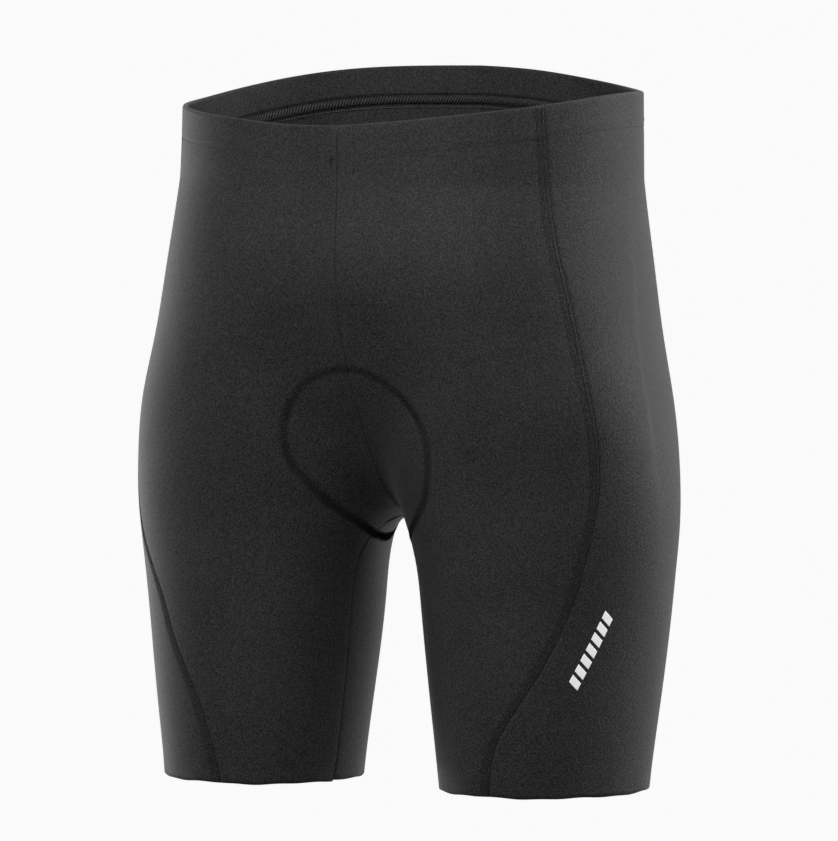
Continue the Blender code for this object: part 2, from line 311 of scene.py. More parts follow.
def body_grid(rounds=160):
    """The left side of the form: rows from rim to hem, columns from front to back."""
    across = np.linspace(0, 1, COLS)
    down = np.linspace(0, 1, FORK_ROW + 1)
    fore, aft = centre_line(-1, down), centre_line(1, down)
    fork, hem_z = fore[-1], -HEM_DEPTH * MM
    side_top, side_fork = grid_top(0.5), -235 * MM
    inseam_z = np.linspace(fork[2], hem_z, ROWS - FORK_ROW)
    grid = np.empty((ROWS, COLS, 3))
    for j in range(ROWS):
        if j <= FORK_ROW:
            side_z = side_top + (side_fork - side_top) * j / FORK_ROW
            front_z, back_z = fore[j, 2], aft[j, 2]
        else:
            side_z = side_fork + (hem_z - side_fork) * (j - FORK_ROW) / (ROWS - 1 - FORK_ROW)
            front_z = back_z = inseam_z[j - FORK_ROW]
        swing = np.cos(np.pi * across) ** 2
        end_z = np.where(across < 0.5, front_z, back_z)
        ring = leg_ring(side_z + (end_z - side_z) * swing, across)
        if j <= FORK_ROW:
            for share, end, k in ((across, fore[j], 0), (1 - across, aft[j], -1)):
                fade = np.clip(1 - share / 0.45, 0, 1)
                fade = fade * fade * (3 - 2 * fade)
                ring[:, :2] += fade[:, None] * (end - ring[k])[:2]
        grid[j] = settle(ring, 12)
    inseam = settle(leg_ring(inseam_z, np.zeros(len(inseam_z))), 12, True)
    inseam[0] = fork
    hem = leg_ring(np.full(400, hem_z), np.linspace(0, 1, 400))
    hem = along(settle(hem, 8, True), across)

    def hold(g):
        g[: FORK_ROW + 1, 0], g[: FORK_ROW + 1, -1] = fore, aft
        g[FORK_ROW:, 0], g[FORK_ROW:, -1] = inseam, inseam
        g[0, :, 2] = grid_top(across)
        g[0] = along(settle(g[0], 2, True), across)
        g[-1] = hem
        return g

    grid = hold(grid)
    for _ in range(rounds):
        mean = grid.copy()
        mean[1:-1, 1:-1] = grid[:-2, 1:-1] + grid[2:, 1:-1] + grid[1:-1, :-2] + grid[1:-1, 2:]
        mean[1:-1, 1:-1] /= 4
        grid = hold(settle(grid + (mean - grid) * 0.9))
    return hold(settle(grid, 3))


GRID = body_grid()
RING = np.linalg.norm(np.diff(GRID, axis=1), axis=-1).sum(1) / MM
PITCH = np.linalg.norm(GRID[2] - GRID[0], axis=1) / 2 / MM


def on_grid(row, share):
    """Points of the form at grid rows (may be between rows) and shares from front to back."""
    row, share = np.broadcast_arrays(np.asarray(row, float), np.asarray(share, float))
    j = np.clip(row.astype(int), 0, ROWS - 2)
    i = np.clip((share * (COLS - 1)).astype(int), 0, COLS - 2)
    b, a = (row - j)[..., None], (share * (COLS - 1) - i)[..., None]
    upper = GRID[j, i] * (1 - a) + GRID[j, i + 1] * a
    lower = GRID[j + 1, i] * (1 - a) + GRID[j + 1, i + 1] * a
    return settle(upper * (1 - b) + lower * b, 2)


def ring_length(row):
    """The length of a grid row from front to back, in millimetres."""
    return np.interp(row, np.arange(ROWS), RING)


def rows_per(length, share):
    """How many grid rows a length in millimetres is, near the rim."""
    return length / np.interp(share, np.linspace(0, 1, COLS), PITCH)


def below_rim(side, drop, share):
    """The grid row that lies a drop, in millimetres, below the rim of one side."""
    left, right = RIM_HEIGHT
    rim = np.where(np.asarray(side) > 0, left(share), right(share))
    return rows_per((grid_top(share) - rim) / MM + drop, share)


def lowered(side, row, share):
    """Grid rows with the uppermost ones moved down to start at the rim."""
    start = below_rim(side, RIM_RADIUS, share)
    return row + start * np.clip(1 - row / RIM_FADE, 0, 1)


def flip(points, side):
    """Points of the left side as they are for side 1, mirrored for side -1."""
    return points * np.array([side, 1, 1])


def facing(points):
    """The form's outward direction at points on either side."""
    mirror = np.where(points[..., :1] < 0, -1, 1) * np.array([1.0, 0, 0]) + np.array([0, 1.0, 1.0])
    return normal(points * mirror) * mirror


def bump(distance, width):
    """A soft hump: 1 on a line and nearly 0 two widths off it."""
    return np.exp(-((distance / width) ** 2))


def step_up(value, low, high):
    """0 up to the low value, 1 from the high one, and a smooth rise between."""
    t = np.clip((value - low) / (high - low), 0, 1)
    return t * t * (3 - 2 * t)


# Meshes

def piece(name, points, faces, material):
    """A smooth-shaded mesh object from point and face arrays, riding the part's body."""
    mesh = bpy.data.meshes.new(name)
    faces = np.asarray(faces, np.int32)
    mesh.vertices.add(len(points))
    mesh.vertices.foreach_set("co", np.asarray(points, np.float32).ravel())
    mesh.loops.add(faces.size)
    mesh.loops.foreach_set("vertex_index", faces.ravel())
    mesh.polygons.add(len(faces))
    width = faces.shape[1]
    mesh.polygons.foreach_set("loop_start", np.arange(0, faces.size, width, dtype=np.int32))
    mesh.polygons.foreach_set("use_smooth", np.ones(len(faces), bool))
    mesh.update(calc_edges=True)
    mesh.validate()
    mesh.materials.append(material)
    thing = bpy.data.objects.new(name, mesh)
    bpy.context.scene.collection.objects.link(thing)
    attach(thing, "root")
    return thing


def grid_faces(rows, cols, start=0, closed=False):
    """Four-sided faces over a grid of points, closed round its rows if asked."""
    j = np.arange(rows - 1)[:, None]
    i = np.arange(cols if closed else cols - 1)[None, :]
    a = start + j * cols + i
    b = start + j * cols + (i + 1) % cols
    return np.stack([a, a + cols, b + cols, b], -1).reshape(-1, 4)


def wall(outer, inner):
    """Points and faces of a thin closed wall between two point grids."""
    rows, cols = outer.shape[:2]
    half = rows * cols
    points = np.concatenate([outer.reshape(-1, 3), inner.reshape(-1, 3)])
    faces = [grid_faces(rows, cols), grid_faces(rows, cols, half)[:, ::-1]]
    i = np.arange(cols - 1)
    last = (rows - 1) * cols
    faces.append(np.stack([i, i + 1, half + i + 1, half + i], -1))
    faces.append(np.stack([i + 1, i, half + i, half + i + 1], -1) + last)
    a = np.arange(rows - 1) * cols
    b = a + cols - 1
    faces.append(np.stack([a, half + a, half + a + cols, a + cols], -1))
    faces.append(np.stack([b, b + cols, half + b + cols, half + b], -1))
    return points, np.concatenate(faces)


def tube(path, radius, sides=5):
    """Points and faces of a thread along a path."""
    ahead = np.roll(path, -1, 0) - np.roll(path, 1, 0)
    ahead[0], ahead[-1] = path[1] - path[0], path[-1] - path[-2]
    ahead = unit(ahead)
    helper = np.where(np.abs(ahead[:, 2:]) < 0.9, [[0.0, 0, 1]], [[1.0, 0, 0]])
    across = unit(np.cross(ahead, helper))
    up = np.cross(ahead, across)
    angle = np.linspace(0, 2 * np.pi, sides, endpoint=False)
    rim = across[:, None] * np.cos(angle)[:, None] + up[:, None] * np.sin(angle)[:, None]
    points = (path[:, None] + rim * radius * MM).reshape(-1, 3)
    return points, grid_faces(len(path), sides, 0, True)[:, ::-1]


def dashes(paths, radius, sides=4):
    """Many short threads at once; each path is a row of points, with tapered ends."""
    count, steps = paths.shape[:2]
    ahead = unit(paths[:, -1] - paths[:, 0])
    up = facing(paths[:, steps // 2])
    across = unit(np.cross(up, ahead))
    angle = np.linspace(0, 2 * np.pi, sides, endpoint=False)
    rim = across[:, None] * np.cos(angle)[:, None] + up[:, None] * np.sin(angle)[:, None]
    taper = np.sin(np.linspace(0.35, np.pi - 0.35, steps)) * radius * MM
    points = paths[:, :, None] + rim[:, None] * taper[:, None, None]
    faces = grid_faces(steps, sides, 0, True)[:, ::-1]
    shift = np.arange(count)[:, None, None] * steps * sides
    return points.reshape(-1, 3), (faces[None] + shift).reshape(-1, 4)


def joined(parts):
    """Points and faces of several parts as those of one mesh."""
    points, faces, start = [], [], 0
    for p, f in parts:
        points.append(p)
        faces.append(f + start)
        start += len(p)
    return np.concatenate(points), np.concatenate(faces)


# Cloth form details

CREASES = [
    # side, from (x, y, z), to (x, y, z), height, width
    (1, (10, -84, -215), (52, -96, -172), -0.7, 7),
    (-1, (-10, -84, -215), (-50, -96, -176), -0.6, 7),
    (1, (20, -62, -250), (70, -88, -236), -0.8, 7),
    (-1, (-20, -62, -250), (-66, -88, -240), -0.8, 7),
    (-1, (-14, -70, -232), (-44, -92, -206), -0.7, 5),
    (1, (30, 55, -250), (95, 70, -215), -0.9, 9),
    (-1, (-30, 55, -250), (-88, 72, -220), -0.8, 9),
    (1, (120, 40, -225), (60, 92, -205), -0.6, 10),
    (-1, (-125, 40, -228), (-66, 92, -210), -0.6, 10),
    (1, (26, 92, -60), (70, 104, -48), -0.5, 9),
    (-1, (-22, 92, -66), (-64, 104, -56), -0.5, 9),
]
RIDGE_HEIGHT = 1.5
RIDGE_FALL = {1: 55, -1: 18}

# Low relief that sewing and cut edges leave in a panel, millimetres.
CASING_RELIEF = [
    # height, how far in from the line, width
    (0.20, -1.2, 1.8),
    (-0.26, 2.2, 1.5),
]
CENTRE_RELIEF = [
    # height, how far in from the line, width
    (-0.60, 0, 0.55),
    (-0.12, 0, 2.4),
]
SIDE_RELIEF = [
    # height, how far in from the line, width
    (-0.15, 0, 0.5),
    (-0.10, 0, 4.5),
]
PAD_RELIEF = [
    # height, how far off the line on both sides, width
    (-0.22, 0, 3.4),
    (-0.16, 3.0, 0.8),
]

# The groove beside a side seam, deep on the picture's right of it and faint on the left.
GROOVE_AT, GROOVE_WIDTH, GROOVE_DEEP, GROOVE_FAINT = 3.1, 0.5, 0.34, 0.10

# The hem rolls and runs a little unevenly, and the seams draw it in where they end.
HEM_WAVE, HEM_WAVE_WIDTH = 0.22, 9
HEM_UNEVEN, HEM_UNEVEN_WIDTH = 0.35, 6
HEM_PULL_SIDE, HEM_PULL_CENTRE, HEM_PULL_ALONG, HEM_PULL_UP = 0.8, 0.5, 7, 10


def low_relief(distance, rows):
    """Soft troughs and swells along a line, added up."""
    return sum(height * bump(distance - place, width) for height, place, width in rows)


def crease_height(points, side):
    """How far the cloth stands off the form at each point, for the soft creases, millimetres."""
    height = np.zeros(points.shape[:-1])
    for on_side, start, end, rise, width in CREASES:
        if on_side != side:
            continue
        a, b = np.array(start) * MM, np.array(end) * MM
        share = ((points - a) @ (b - a)) / ((b - a) @ (b - a))
        fade = step_up(share, -0.25, 0.3) * (1 - step_up(share, 0.6, 1.25))
        foot = a + np.clip(share, -0.3, 1.3)[..., None] * (b - a)
        away = np.linalg.norm(points - foot, axis=-1) / MM
        height += rise * fade * bump(away, width)
    return height


def ridge_height(points, centre_edge, side):
    """The centre front seam stands up a little: steep on the right side, long on the left."""
    depth = -points[..., 2] / MM
    fade = step_up(depth, -12, 25) * (1 - step_up(depth, 105, 165))
    return RIDGE_HEIGHT * fade * np.clip(1 - centre_edge / RIDGE_FALL[side], 0, 1) ** 1.4


def pad_side(middle, width, steps):
    """Lines laid out sideways over the form from the centre line, on the left side."""
    point, heading = middle, np.tile([1.0, 0, 0], (len(middle), 1))
    track = [point]
    for _ in range(steps):
        up = normal(point)
        heading = unit(heading - (heading * up).sum(-1, keepdims=True) * up)
        moved = settle(point + heading * width[:, None] / steps, 2)
        heading = moved - point
        point = moved
        track.append(point)
    return np.stack(track, 1)


def pad_track(steps):
    """The pad's surface on the form, from its right edge to its left one, and its length shares."""
    fore = centre_line(-1, np.linspace(0, 1, 300))
    aft = centre_line(1, np.linspace(0, 1, 300))
    line = np.concatenate([fore, aft[::-1][1:]])
    length = lengths(line)
    key = np.linspace(0, len(PAD) - 1, 141)
    table = np.array(PAD, float).T * MM
    reach, to_left, to_right = (spline(np.arange(len(PAD)), row)(key) for row in table)
    middle = np.stack([np.interp(length[299] + reach, length, line[:, k]) for k in range(3)], -1)
    left, right = pad_side(middle, to_left, steps), pad_side(middle, to_right, steps)
    share = (reach - reach[0]) / (reach[-1] - reach[0])
    return np.concatenate([flip(right, -1)[:, :0:-1], left], axis=1), np.clip(share, 0, 1)


TRACK, PAD_SHARE = pad_track(30)
OUTLINE = np.concatenate([TRACK[:, -1], TRACK[::-1, 0], TRACK[:1, -1]])


def outline_dip(points):
    """The shallow trough that the pad's stitching pulls into the cloth, millimetres."""
    height = np.zeros(points.shape[:-1])
    line = along(OUTLINE, np.linspace(0, 1, 700))
    near = (points[..., 2] < -120 * MM) & (np.abs(points[..., 0]) < 95 * MM)
    chosen = points[near]
    away = np.full(len(chosen), 1.0)
    for start in range(0, len(line), 50):
        gap = np.linalg.norm(chosen[:, None] - line[None, start : start + 50], axis=-1)
        away = np.minimum(away, gap.min(1))
    away = away / MM
    height[near] = low_relief(away, PAD_RELIEF)
    return height


def panel(name, side, at_front, material):
    """One stretch knit panel: casing inside, over the rim, down the outside to the hem."""
    middle = FRONT_MIDDLE if at_front else BACK_MIDDLE
    edges = (PLAIN_EDGE, SIDE_EDGE) if at_front else (SIDE_EDGE, PLAIN_EDGE)
    left, right = np.array(edges[0]), np.array(edges[1])[::-1]
    seam = SEAM_PLACE[0 if side > 0 else 1]
    above = np.linspace(0, FORK_ROW, ROWS_ABOVE)
    below = np.linspace(FORK_ROW, ROWS - 1, ROWS_BELOW)
    rows = np.append(above, below[1:])

    def spread(row):
        """Shares from front to back of each column, and distances from both edges."""
        place = seam(row / (ROWS - 1))[:, None]
        start, end = (0 * place, place) if at_front else (place, 1 + 0 * place)
        width = ring_length(row)[:, None] * (end - start)
        inner = np.linspace(0, 1, middle + 2)[1:-1]
        from_left = np.concatenate([
            left + 0 * width,
            left[-1] + (width - left[-1] - right[0]) * inner,
            width - right,
        ], axis=1)
        return start + (end - start) * from_left / width, from_left, width - from_left

    rim = RIM_RADIUS
    inside = np.array([CASING, *CASING_DROPS])
    turn = np.radians(np.linspace(180, 0, RIM_STEPS))

    def top(radius, offset):
        """The casing's inside and its turn over the rim, with the cloth at a radius."""
        drop = np.append(inside, rim - radius * np.sin(turn))
        inward = np.append(0 * inside + offset, rim - radius * np.cos(turn))
        share = spread(drop / TOP_ROW)[0]
        base = on_grid(below_rim(side, drop[:, None], share), share)
        return base - normal(base) * inward[:, None, None] * MM

    share, body_left, body_right = spread(rows[1:])
    row = lowered(side, rows[1:, None], share)
    base = on_grid(row, share)
    up = normal(base)
    centre_edge, side_edge = (body_left, body_right) if at_front else (body_right, body_left)
    drop = (row - below_rim(side, 0, share)) * np.interp(share, np.linspace(0, 1, COLS), PITCH)
    to_hem = (ROWS - 1 - row) * LEG_ROW
    wave = np.sin(share * 41 + side) + 0.7 * np.sin(share * 97 + 2 * side)
    height = crease_height(flip(base, side), side) + outline_dip(flip(base, side))
    if at_front:
        height += ridge_height(base, centre_edge, side)
    height += low_relief(drop - CASING, CASING_RELIEF)
    height += low_relief(centre_edge, CENTRE_RELIEF)
    height += low_relief(side_edge, SIDE_RELIEF)
    groove = GROOVE_DEEP if at_front == (side < 0) else GROOVE_FAINT
    height -= groove * bump(side_edge - GROOVE_AT, GROOVE_WIDTH)
    height += HEM_WAVE * wave * bump(to_hem, HEM_WAVE_WIDTH)
    for pull, edge in ((HEM_PULL_SIDE, side_edge), (HEM_PULL_CENTRE, centre_edge)):
        height -= pull * bump(edge, HEM_PULL_ALONG) * bump(to_hem, HEM_PULL_UP)
    body_outer = base + up * height[..., None] * MM
    body_inner = body_outer - up * KNIT * MM
    for sheet in (body_outer, body_inner):
        sheet[..., 2] += HEM_UNEVEN * wave * bump(to_hem, HEM_UNEVEN_WIDTH) * MM
    outer = np.concatenate([top(rim, 2 * rim), body_outer])
    inner = np.concatenate([top(rim - KNIT, 2 * rim - KNIT), body_inner])
    for sheet in (outer, inner):
        sheet[..., 0] = np.maximum(sheet[..., 0], 0)
    points, faces = wall(flip(outer, side), flip(inner, side))
    if side < 0:
        faces = faces[:, ::-1]
    return piece(name, points, faces, material)


# Materials

def nodes_of(name):
    """A new material, its node tree and its main shader."""
    material = bpy.data.materials.new(name)
    material.use_nodes = True
    tree = material.node_tree
    return material, tree, tree.nodes["Principled BSDF"]


def tone_ramp(tree, low, high, dark, light):
    """A ramp between two grey tones, a little bluer than neutral."""
    ramp = tree.nodes.new("ShaderNodeValToRGB")
    for element, position, tone in zip(ramp.color_ramp.elements, (low, high), (dark, light)):
        element.position = position
        element.color = (tone, tone * 1.01, tone * 1.05, 1)
    return ramp


# Where the speckle's tones start and end, the slow change's scale and share, and how much
# finer the loops are than the speckle.
SPECKLE_RAMP = (0.455, 0.625)
SLOW_SCALE, SLOW_SHARE = 22, 0.08
LOOPS_PER_GRAIN = 1.15


def cloth(name, dark, light, grain, relief_mm, rough, sheen):
    """Fine knit: speckled yarn tone, a slow change of tone, and the loops' relief."""
    material, tree, shader = nodes_of(name)
    new, link = tree.nodes.new, tree.links.new
    place = new("ShaderNodeTexCoord")
    speckle = new("ShaderNodeTexNoise")
    speckle.inputs["Scale"].default_value = grain
    speckle.inputs["Detail"].default_value = 3
    speckle.inputs["Roughness"].default_value = 0.7
    slow = new("ShaderNodeTexNoise")
    slow.inputs["Scale"].default_value = SLOW_SCALE
    slow.inputs["Detail"].default_value = 2
    mix = new("ShaderNodeMath")
    mix.operation = "MULTIPLY_ADD"
    mix.inputs[1].default_value = SLOW_SHARE
    ramp = tone_ramp(tree, *SPECKLE_RAMP, dark, light)
    loops = new("ShaderNodeTexVoronoi")
    loops.inputs["Scale"].default_value = grain * LOOPS_PER_GRAIN
    relief = new("ShaderNodeBump")
    relief.inputs["Strength"].default_value = 0.9
    relief.inputs["Distance"].default_value = relief_mm * MM
    weave = new("ShaderNodeMath")
    weave.operation = "ADD"
    for texture in (speckle, slow, loops):
        link(place.outputs["Object"], texture.inputs["Vector"])
    link(slow.outputs["Fac"], mix.inputs[0])
    link(speckle.outputs["Fac"], mix.inputs[2])
    link(mix.outputs[0], ramp.inputs["Fac"])
    link(ramp.outputs["Color"], shader.inputs["Base Color"])
    link(loops.outputs["Distance"], weave.inputs[0])
    link(speckle.outputs["Fac"], weave.inputs[1])
    link(weave.outputs[0], relief.inputs["Height"])
    link(relief.outputs["Normal"], shader.inputs["Normal"])
    shader.inputs["Roughness"].default_value = rough
    shader.inputs["Specular IOR Level"].default_value = 0.4
    shader.inputs["Sheen Weight"].default_value = sheen
    shader.inputs["Sheen Roughness"].default_value = 0.4
    return material


def thread(name, dark, light):
    """Twisted sewing thread: fine bands of tone along it."""
    material, tree, shader = nodes_of(name)
    new, link = tree.nodes.new, tree.links.new
    place = new("ShaderNodeTexCoord")
    twist = new("ShaderNodeTexNoise")
    twist.inputs["Scale"].default_value = 2600
    ramp = tone_ramp(tree, 0.35, 0.7, dark, light)
    relief = new("ShaderNodeBump")
    relief.inputs["Distance"].default_value = 0.05 * MM
    link(place.outputs["Object"], twist.inputs["Vector"])
    link(twist.outputs["Fac"], ramp.inputs["Fac"])
    link(ramp.outputs["Color"], shader.inputs["Base Color"])
    link(twist.outputs["Fac"], relief.inputs["Height"])
    link(relief.outputs["Normal"], shader.inputs["Normal"])
    shader.inputs["Roughness"].default_value = 0.7
    shader.inputs["Specular IOR Level"].default_value = 0.2
    return material


def film():
    """Pale reflective heat-seal film with a fine beaded surface, and a painted glow: a faint
    emission stands in for the light its beads send back.
    """
    material, tree, shader = nodes_of("strip_film")
    new, link = tree.nodes.new, tree.links.new
    place = new("ShaderNodeTexCoord")
    beads = new("ShaderNodeTexVoronoi")
    beads.inputs["Scale"].default_value = 3200
    ramp = tone_ramp(tree, 0.0, 1.0, 0.80, 0.95)
    relief = new("ShaderNodeBump")
    relief.inputs["Distance"].default_value = 0.03 * MM
    link(place.outputs["Object"], beads.inputs["Vector"])
    link(beads.outputs["Distance"], ramp.inputs["Fac"])
    link(ramp.outputs["Color"], shader.inputs["Base Color"])
    link(beads.outputs["Distance"], relief.inputs["Height"])
    link(relief.outputs["Normal"], shader.inputs["Normal"])
    shader.inputs["Roughness"].default_value = 0.45
    # Painted glow: the film gives off light of its own, in place of the light its reflective beads
    # send back.
    shader.inputs["Emission Color"].default_value = (1, 1, 1, 1)
    shader.inputs["Emission Strength"].default_value = 0.3
    return material


CLOTHS = [
    # name, darkest tone, lightest tone, grain scale, relief in millimetres, roughness, sheen
    ("knit_front", 0.003, 0.042, 1000, 0.18, 0.6, 0.08),
    ("knit_back", 0.003, 0.042, 1000, 0.18, 0.6, 0.08),
    ("waist_elastic", 0.010, 0.035, 900, 0.12, 0.8, 0.10),
    ("pad_cloth", 0.03, 0.075, 900, 0.2, 0.9, 0.2),
]
THREADS = [
    # name, darkest tone, lightest tone
    ("needle_thread", 0.002, 0.006),
    ("cover_thread", 0.02, 0.055),
    ("overlock_thread", 0.06, 0.20),
]
knit_front, knit_back, elastic_cloth, pad_cloth = (cloth(*row) for row in CLOTHS)
needle_thread, cover_thread, overlock_thread = (thread(*row) for row in THREADS)


# Sewing

def place_on(side, row, share, height):
    """Points a height, in millimetres, off the form's outside."""
    base = on_grid(row, share)
    return flip(base + normal(base) * (np.asarray(height) * MM)[..., None], side)


def seam_run(side, at):
    """Rows, before lowering, and shares at distances down the side seam."""
    fine = np.linspace(0.02, ROWS - 1, 1500)
    place = SEAM_PLACE[0 if side > 0 else 1](fine / (ROWS - 1))
    length = lengths(on_grid(lowered(side, fine, place), place)) / MM
    row = np.interp(at, length, fine)
    return row, np.interp(row, fine, place)


SEAM_LENGTH = 478
SEAM_START, SEAM_STOP = 0.6, 0.8
SEAM_PITCH, COVER_PITCH, COVER_REACH = 1.75, 3.0, 2.3

# How much higher a stitch's middle lies than its ends.
STITCH_RISE = 0.10
SEAM_ROWS = [
    # distance towards the picture's right, dash length, radius, height
    (-2.8, 0.95, 0.32, 0.02),
    (-1.2, 0.80, 0.22, 0.0),
    (1.2, 0.90, 0.28, 0.02),
    (2.9, 1.45, 0.30, -0.16),
]


def side_stitching(side):
    """Flatlock needle rows down the side seam, each a row of short sunken stitches."""
    parts = []
    for k, (shift, dash, radius, height) in enumerate(SEAM_ROWS):
        at = np.arange(SEAM_START, SEAM_LENGTH, SEAM_PITCH) + 0.4 * SEAM_PITCH * (k % 2)
        spots = at[:, None] + np.linspace(-0.5, 0.5, 3) * dash
        row, share = seam_run(side, spots)
        share = share + side * shift / ring_length(row)
        lift = height + STITCH_RISE * np.array([-1.0, 1.0, -1.0])
        paths = place_on(side, lowered(side, row, share), share, lift + 0 * share)
        inside = at < lengths_down(side) - SEAM_STOP
        parts.append(dashes(paths[inside], radius))
    points, faces = joined(parts)
    name = "side_stitching_" + ("left" if side > 0 else "right")
    return piece(name, points, faces, needle_thread)


def side_cover(side):
    """The flat looper thread that zigzags between the needle rows of the side seam."""
    at = np.arange(SEAM_START, lengths_down(side) - SEAM_STOP, COVER_PITCH / 6)
    row, share = seam_run(side, at)
    swing = 2 / np.pi * np.arcsin(np.sin(at / COVER_PITCH * 2 * np.pi)) * COVER_REACH
    share = share + swing / ring_length(row)
    height = STITCH_RISE * np.cos(swing / COVER_REACH * np.pi / 2)
    points, faces = tube(place_on(side, lowered(side, row, share), share, height), 0.13, 4)
    name = "side_cover_" + ("left" if side > 0 else "right")
    return piece(name, points, faces, cover_thread)


def lengths_down(side):
    """The side seam's length from rim to hem on one side, in millimetres."""
    fine = np.linspace(0.02, ROWS - 1, 600)
    place = SEAM_PLACE[0 if side > 0 else 1](fine / (ROWS - 1))
    return lengths(on_grid(lowered(side, fine, place), place))[-1] / MM


# The bars across the band round the pad, and the row of dashes along each edge of it.
PAD_PITCH, BAR_REACH, BAR_UNEVEN = 1.5, 2.6, 0.25
BAR_SINK, BAR_RADIUS = -0.12, 0.29
EDGE_ROW_AT, EDGE_ROW_SINK, EDGE_DASH, EDGE_ROW_RADIUS = 2.9, 0.16, 0.33, 0.24


def outline_frame(count):
    """Even points round the pad's outline, with the directions ahead, up and outwards there."""
    line = settle(along(OUTLINE, np.arange(count) / count), 1)
    ahead = unit(np.roll(line, -2, 0) - np.roll(line, 2, 0))
    for _ in range(12):
        ahead = unit(np.roll(ahead, -1, 0) + 2 * ahead + np.roll(ahead, 1, 0))
    up = facing(line)
    return line, ahead, up, unit(np.cross(up, ahead))


def pad_stitching():
    """Dense bars of thread across a narrow band, all round the pad's outline."""
    length = lengths(OUTLINE)[-1] / MM
    count = int(length / PAD_PITCH)
    line, _, up, across = outline_frame(count)
    steps = np.linspace(-1, 1, 5)
    reach = BAR_REACH + BAR_UNEVEN * np.sin(np.arange(count) * 2.1)
    paths = line[:, None] + across[:, None] * (steps * reach[:, None])[..., None] * MM
    paths = settle(paths, 1)
    lift = BAR_SINK + STITCH_RISE * (1 - steps**2)
    paths = paths + up[:, None] * lift[None, :, None] * MM
    parts = [dashes(paths, BAR_RADIUS)]
    ahead = unit(np.roll(line, -1, 0) - line) * EDGE_DASH * MM
    for shift in (-EDGE_ROW_AT, EDGE_ROW_AT):
        spots = settle(line + across * shift * MM, 1) - up * EDGE_ROW_SINK * MM
        rows = np.stack([spots - ahead, spots, spots + ahead], 1)
        parts.append(dashes(rows, EDGE_ROW_RADIUS))
    points, faces = joined(parts)
    return piece("pad_stitching", points, faces, needle_thread)


def waist_points(around, drop, height):
    """Points round the waist at a drop below the rim and a height off the form."""
    around = np.mod(around, 2)
    share = np.where(around <= 1, around, 2 - around)
    side = np.where(around <= 1, 1.0, -1.0)
    base = on_grid(below_rim(side, drop, share), share)
    base = base + normal(base) * (np.asarray(height) * MM)[..., None]
    base[..., 0] *= side
    return base


# The twin rows that hold the casing, seen from outside.
TWIN_PITCH, TWIN_RADIUS = 2.6, 0.15
TWIN_ROWS = [
    # drop below the rim, shift along in stitches
    (CASING - 2.0, 0.0),
    (CASING + 2.2, 0.5),
]
TWIN_HEIGHTS = (-0.17, 0.07, 0.07, -0.17)

# The overlock's loops over the casing's edge, the knot in them, and the rows beside them.
LOOP_PITCH, LOOP_RADIUS, LOOP_REACH, LOOP_LIFT = 2.2, 0.36, 2.3, 1.0
KNOT_AT, KNOT_WIDTH, KNOT_SPREAD, KNOT_LIFT = 1.14, 4.5, 0.5, 0.6
TURNED_SIDE = -2 * RIM_RADIUS
NEEDLE_PITCH = 1.9
NEEDLE_ROWS = [
    # drop below the rim, height off the form, radius
    (CASING + 7.2, -KNIT - 1.1, 0.5),
    (CASING - 0.3, TURNED_SIDE - 0.3, 0.26),
]

ELASTIC_POINTS = 260
ELASTIC_PROFILE = [
    # drop below the rim, height off the form
    (2.2, -1.2),
    (2.2, -2.0),
    (10, -2.0),
    (CASING - 0.5, -2.0),
    (CASING + 0.6, -3.2),
    (CASING + 2.3, -3.8),
    (CASING + 4.0, -3.2),
    (CASING + 4.6, -2.2),
    (CASING + 4.6, -1.3),
    (10, -1.2),
]


def casing_stitching():
    """Twin-needle stitching that holds the turned casing: two faint rows of sunken dashes."""
    parts = []
    count = int(2 * RING[0] / TWIN_PITCH)
    for drop, shift in TWIN_ROWS:
        around = (np.arange(count)[:, None] + shift + np.linspace(0, 0.6, 4)) * 2 / count
        height = np.array(TWIN_HEIGHTS) + 0 * around
        parts.append(dashes(waist_points(around, drop + 0 * around, height), TWIN_RADIUS))
    points, faces = joined(parts)
    return piece("casing_stitching", points, faces, cover_thread)


def waist_overlock():
    """The overlocked lower edge of the casing inside: a cord wrapped in slanting loops."""
    count = int(2 * RING[0] / LOOP_PITCH)
    around = (np.arange(count)[:, None] + np.linspace(-0.6, 1.3, 7)) * 2 / count
    knot = bump((np.mod(around, 2) - KNOT_AT) * RING[0], KNOT_WIDTH)
    sweep = np.linspace(0, 1, 7) * np.pi
    drop = CASING + LOOP_REACH - (LOOP_REACH + KNOT_SPREAD * knot) * np.cos(sweep)
    height = TURNED_SIDE - 0.25 - (LOOP_LIFT + KNOT_LIFT * knot) * np.sin(sweep)
    parts = [dashes(waist_points(around, drop, height), LOOP_RADIUS)]
    count = int(2 * RING[0] / NEEDLE_PITCH)
    around = (np.arange(count)[:, None] + np.linspace(0.1, 0.75, 3)) * 2 / count
    for drop, height, radius in NEEDLE_ROWS:
        points = waist_points(around, drop + 0 * around, height + 0 * around)
        parts.append(dashes(points, radius))
    points, faces = joined(parts)
    return piece("waist_overlock", points, faces, overlock_thread)


def waist_elastic():
    """The elastic inside the casing and the bulky edge below it."""
    around = np.linspace(0, 2, ELASTIC_POINTS, endpoint=False)
    rings = [waist_points(around, d + 0 * around, h + 0 * around) for d, h in ELASTIC_PROFILE]
    rings = np.stack(rings + rings[:1])
    points, faces = rings.reshape(-1, 3), grid_faces(len(rings), ELASTIC_POINTS, 0, True)
    thing = piece("waist_elastic", points, faces[:, ::-1], elastic_cloth)
    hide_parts("waistband")
    return thing


